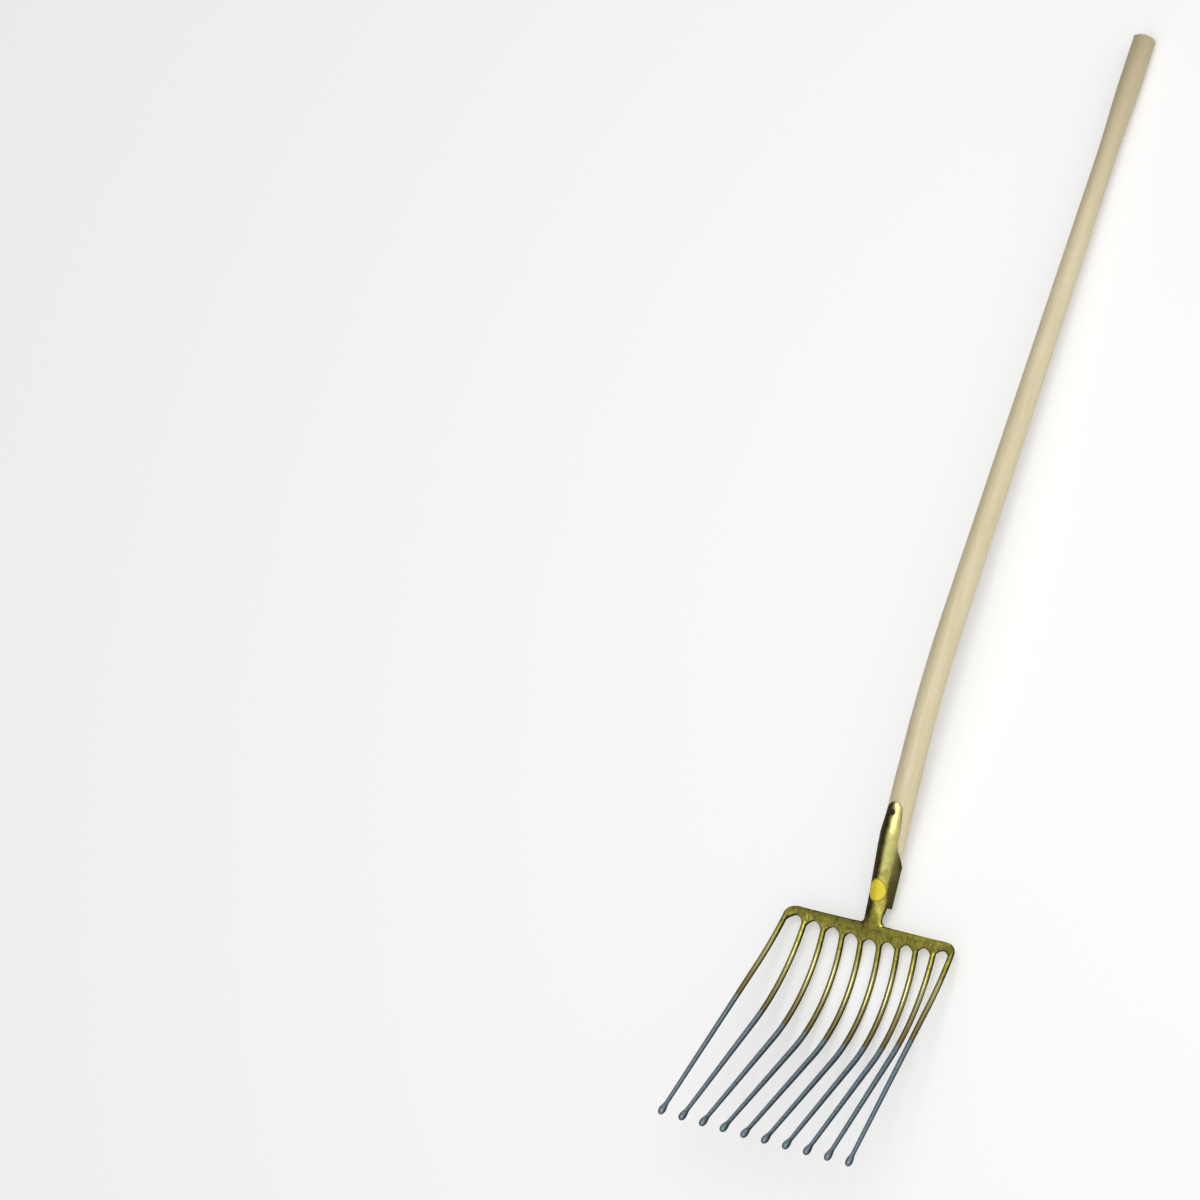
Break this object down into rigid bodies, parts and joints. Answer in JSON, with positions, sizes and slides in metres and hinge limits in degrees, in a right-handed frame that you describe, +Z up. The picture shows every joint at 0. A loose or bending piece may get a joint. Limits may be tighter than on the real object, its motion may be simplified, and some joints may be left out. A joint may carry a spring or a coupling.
{
  "type": "gravel fork",
  "caption": "Long-handled gravel fork with a dished head of knobbed tines, a forged spring socket and a bent wooden handle.",
  "frame": {"origin": "on the ground under the middle of the fork's outline, with the fork lying on its back", "axes": "+Y from the tines towards the handle's end, +Z up, +X across the head"},
  "size_m": [0.3158, 1.7345, 0.1836],
  "materials": {
    "tines": "thin semi-gloss gold-bronze lacquer over forged steel, with the front halves dipped in blue-grey lacquer",
    "socket": "thin semi-gloss gold-bronze lacquer over forged steel, with small dark specks",
    "handle": "pale ash, sanded smooth, clear satin",
    "nail": "lacquered over with the socket, dull",
    "label": "plain yellow, semi-gloss"
  },
  "bodies": {
    "root": {"tine_01": "tines", "tine_02": "tines", "tine_03": "tines", "tine_04": "tines", "tine_05": "tines", "tine_06": "tines", "tine_07": "tines", "tine_08": "tines", "tine_09": "tines", "tine_10": "tines", "socket": "socket", "handle": "handle", "tongue_nail": "nail", "round_label": "label"}
  },
  "joints": []
}
